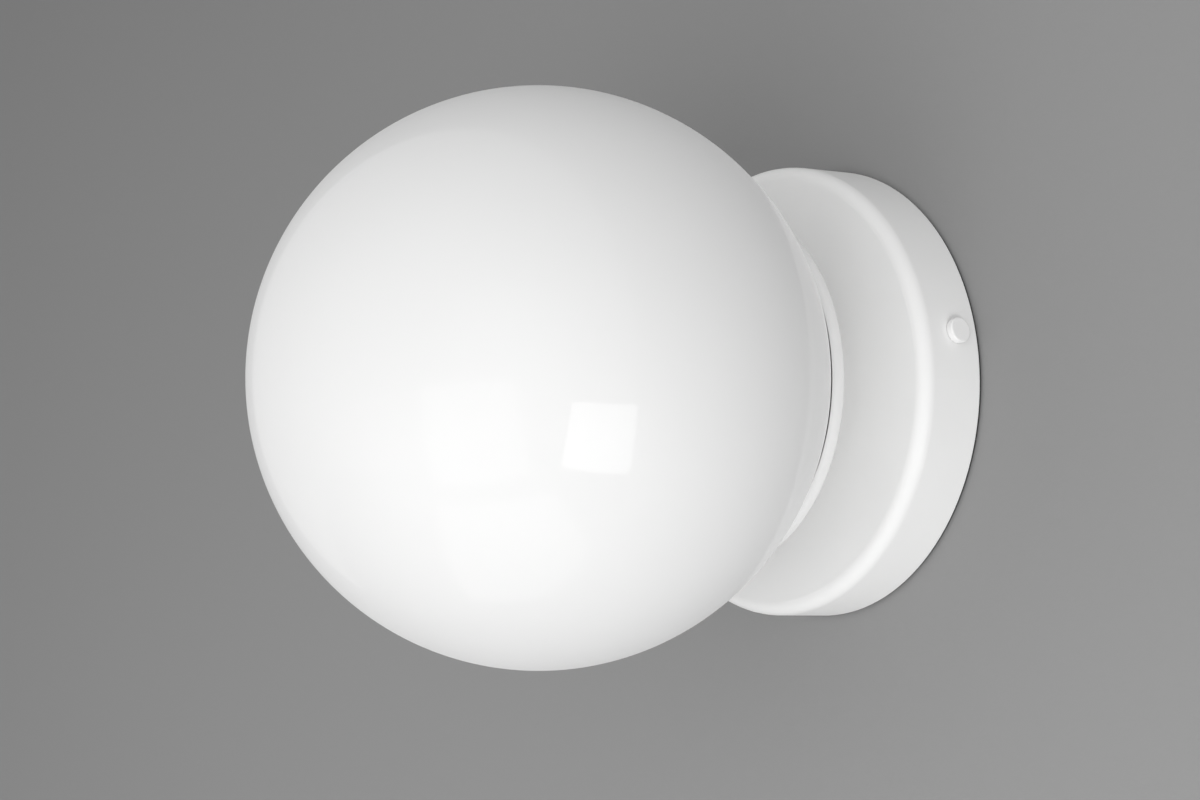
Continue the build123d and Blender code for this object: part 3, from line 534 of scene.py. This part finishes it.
def gallery_section():
    outside = GALLERY_DISTANCE + GALLERY_WALL
    hub_outer = HUB_INNER + GALLERY_WALL
    inner = GALLERY_RADIUS - GALLERY_WALL
    land = GALLERY_RADIUS - LIP_LAND
    lip_front = ball_height(GLOBE_RADIUS + LIP_GAP, land)
    points = [
        (NIPPLE_HOLE, PLATE_DEPTH),
        (hub_outer, PLATE_DEPTH),
        (hub_outer, cone_height(outside, hub_outer)),
        (GALLERY_RADIUS, cone_height(outside, GALLERY_RADIUS)),
        (GALLERY_RADIUS, lip_front),
        (land, lip_front),
        (inner, ball_height(GLOBE_RADIUS + LIP_GAP, inner)),
        (inner, cone_height(GALLERY_DISTANCE, inner)),
        (HUB_INNER, cone_height(GALLERY_DISTANCE, HUB_INNER)),
        (HUB_INNER, PLATE_DEPTH + GALLERY_WALL),
        (NIPPLE_HOLE, PLATE_DEPTH + GALLERY_WALL),
    ]
    return rounded(points, {1: GALLERY_BEND, 2: GALLERY_BEND, 3: GALLERY_EDGE, 8: GALLERY_BEND})


gallery = lathe("gallery_spun", gallery_section(), "white_enamel", segments=288)
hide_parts("gallery")
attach(gallery, "fixture")


# ---------------------------------------------------------------- lamp cap and its screw shell

def threaded_tube(name, skin, material, segments=96):
    """A closed tube whose section, a list of (radius, height, thread depth), is cut by a rolled thread."""
    vertices, faces = [], []
    for i in range(segments):
        angle = 2 * pi * i / segments
        for radius, height, depth in skin:
            wave = 0.5 + 0.5 * cos(2 * pi * height / THREAD_PITCH + angle)
            out = radius - depth * wave
            vertices.append((out * cos(angle) * MM, -height * MM, out * sin(angle) * MM))
    count = len(skin)
    for i in range(segments):
        j = (i + 1) % segments
        for k in range(count):
            m = (k + 1) % count
            faces.append((i * count + k, i * count + m, j * count + m, j * count + k))
    return add_mesh(name, vertices, faces, material)


def run(radius, start, end, depth):
    """Points along a tube's wall, with the thread fading out at both ends."""
    points = []
    for i in range(THREAD_STEPS + 1):
        height = start + (end - start) * i / THREAD_STEPS
        near = min(abs(height - start), abs(height - end)) / THREAD_FADE
        points.append((radius, height, depth * min(1.0, near)))
    return points


def cap_skin():
    outer = [(CAP_RADIUS - CAP_SHEET / 2, CAP_BOTTOM, 0.0)]
    outer += run(CAP_RADIUS, CAP_BOTTOM + CAP_SHEET / 2, CAP_TOP, CAP_THREAD)
    inner = run(CAP_RADIUS - CAP_SHEET, CAP_TOP, CAP_BOTTOM + CAP_SHEET, CAP_THREAD)
    return [(CAP_BASE, CAP_BOTTOM, 0.0)] + outer + inner + [(CAP_BASE, CAP_BOTTOM + CAP_SHEET, 0.0)]


lamp_cap = threaded_tube("lamp_cap_threaded", cap_skin(), "nickel_cap")
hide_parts("lamp_cap")
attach(lamp_cap, "lamp")


def shell_skin():
    outer = run(SHELL_OUTER, SHELL_BOTTOM, SHELL_TOP, SHELL_THREAD)
    inner = run(SHELL_INNER + SHELL_THREAD, SHELL_TOP, SHELL_BOTTOM + SHELL_FLOOR, SHELL_INNER_THREAD)
    return [(SHELL_BASE, SHELL_BOTTOM, 0.0)] + outer + inner + [(SHELL_BASE, SHELL_BOTTOM + SHELL_FLOOR, 0.0)]


shell = threaded_tube("shell_threaded", shell_skin(), "brass")
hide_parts("threaded_shell")
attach(shell, "fixture")


# ---------------------------------------------------------------- wall, floor and light

WALL_HOLE = 78.0                 # radius, mm
WALL_BEHIND = 0.3                # mm behind the light's wall side
WALL_SHADE_LOW, WALL_SHADE_HIGH = -0.35, 0.35        # metres, where the wall's painted shade, darker towards the top, starts and stops changing
# metres, where the wall's painted shade, darker towards the left, starts and stops changing
WALL_SHADE_LEFT, WALL_SHADE_RIGHT = -0.75, 0.17
STAGE_HALF = 4.0
FLOOR_HEIGHT = -2.4


def stage_plane(name, matrix, material):
    half = STAGE_HALF
    mesh = bpy.data.meshes.new(name)
    corners = [(-half, -half, 0), (half, -half, 0), (half, half, 0), (-half, half, 0)]
    mesh.from_pydata(corners, [], [(0, 1, 2, 3)])
    mesh.materials.append(material)
    obj = bpy.data.objects.new(name, mesh)
    obj.matrix_world = matrix
    scene.collection.objects.link(obj)


def wall_material():
    """Matte grey paint on the room's side, with painted shade darker towards the top and the left, nothing
    seen from behind, and a hole under the plate.
    """
    s = Shader("wall_paint", grey(0.30), 0.9)
    place = s.node("ShaderNodeSeparateXYZ")
    s.link(s.coordinates, place.inputs[0])
    shade_rise = s.spread(place.outputs["Y"], 0.0, 1.0, WALL_SHADE_LOW, WALL_SHADE_HIGH)
    shade_aside = s.spread(place.outputs["X"], 0.0, 1.0, WALL_SHADE_LEFT, WALL_SHADE_RIGHT)
    # painted shade: the wall's grey is darker towards the top, where the light falls off
    painted_shade_upwards = s.tint(shade_rise, grey(0.345), grey(0.248), 0.0, 1.0)
    # painted shade: the wall's grey is darker towards the left, where the light falls off
    painted_shade_sideways = s.tint(shade_aside, grey(0.78), grey(1.0), 0.0, 1.0)
    s.paint(s.times(painted_shade_upwards, painted_shade_sideways))
    s.bump(s.noise(1.5, detail=2.0), 0.05)
    clear = s.node("ShaderNodeBsdfTransparent")
    side = s.node("ShaderNodeNewGeometry")
    out = s.node("ShaderNodeVectorMath", operation="LENGTH")
    s.link(s.coordinates, out.inputs[0])
    hole = s.node("ShaderNodeMath", operation="LESS_THAN")
    s.link(out.outputs["Value"], hole.inputs[0])
    hole.inputs[1].default_value = WALL_HOLE * MM
    open_part = s.node("ShaderNodeMath", operation="MAXIMUM")
    s.link(side.outputs["Backfacing"], open_part.inputs[0])
    s.link(hole.outputs[0], open_part.inputs[1])
    mix = s.node("ShaderNodeMixShader")
    output = s.tree.nodes["Material Output"]
    s.link(open_part.outputs[0], mix.inputs[0])
    s.link(s.bsdf.outputs[0], mix.inputs[1])
    s.link(clear.outputs[0], mix.inputs[2])
    s.link(mix.outputs[0], output.inputs["Surface"])
    return s.material


def floor_material():
    s = Shader("floor_paint", grey(0.62), 0.8)
    s.paint(s.tint(s.noise(300, detail=2.0), grey(0.61), grey(0.63)))
    return s.material


upright = Matrix.Rotation(pi / 2, 4, "X")
stage_plane("wall", Matrix.Translation((0, WALL_BEHIND * MM, 0)) @ upright, wall_material())
stage_plane("floor", Matrix.Translation((0, 0, FLOOR_HEIGHT)), floor_material())


def area_light(name, place, target, size, power):
    data = bpy.data.lights.new(name, "AREA")
    data.shape = "SQUARE"
    data.size = size
    data.energy = power
    obj = bpy.data.objects.new(name, data)
    obj.location = place
    obj.rotation_euler = (Vector(target) - Vector(place)).to_track_quat("-Z", "Y").to_euler()
    scene.collection.objects.link(obj)


globe_centre = Vector((0, -GLOBE_CENTRE * MM, 0))


def from_camera(right, up, back):
    """A place given in the camera's directions from the globe's centre."""
    return globe_centre + CAMERA_RIGHT * right + CAMERA_UP * up + CAMERA_BACK * back


# name, place as from_camera takes it, side in metres, watts
LAMPS = [
    ("window_left", (-0.70, -0.62, 1.55), 1.2, 5.2),
    ("window_right", (0.72, -0.67, 1.51), 0.8, 7.9),
    ("front", (-0.3, 0.4, 1.75), 1.4, 1.6),
    ("left", (-1.3, -0.8, 1.1), 1.4, 1.6),
    ("below", (-0.2, -1.6, 0.6), 1.4, 6.7),
]
for name, place, size, power in LAMPS:
    area_light(name, from_camera(*place), globe_centre, size, power)

WORLD_GREY = 0.75
WORLD_STRENGTH = 1.04
world = bpy.data.worlds.new("world")
scene.world = world
world.use_nodes = True
background = world.node_tree.nodes["Background"]
background.inputs["Color"].default_value = (*grey(WORLD_GREY), 1.0)
background.inputs["Strength"].default_value = WORLD_STRENGTH

scene.view_settings.view_transform = "Standard"
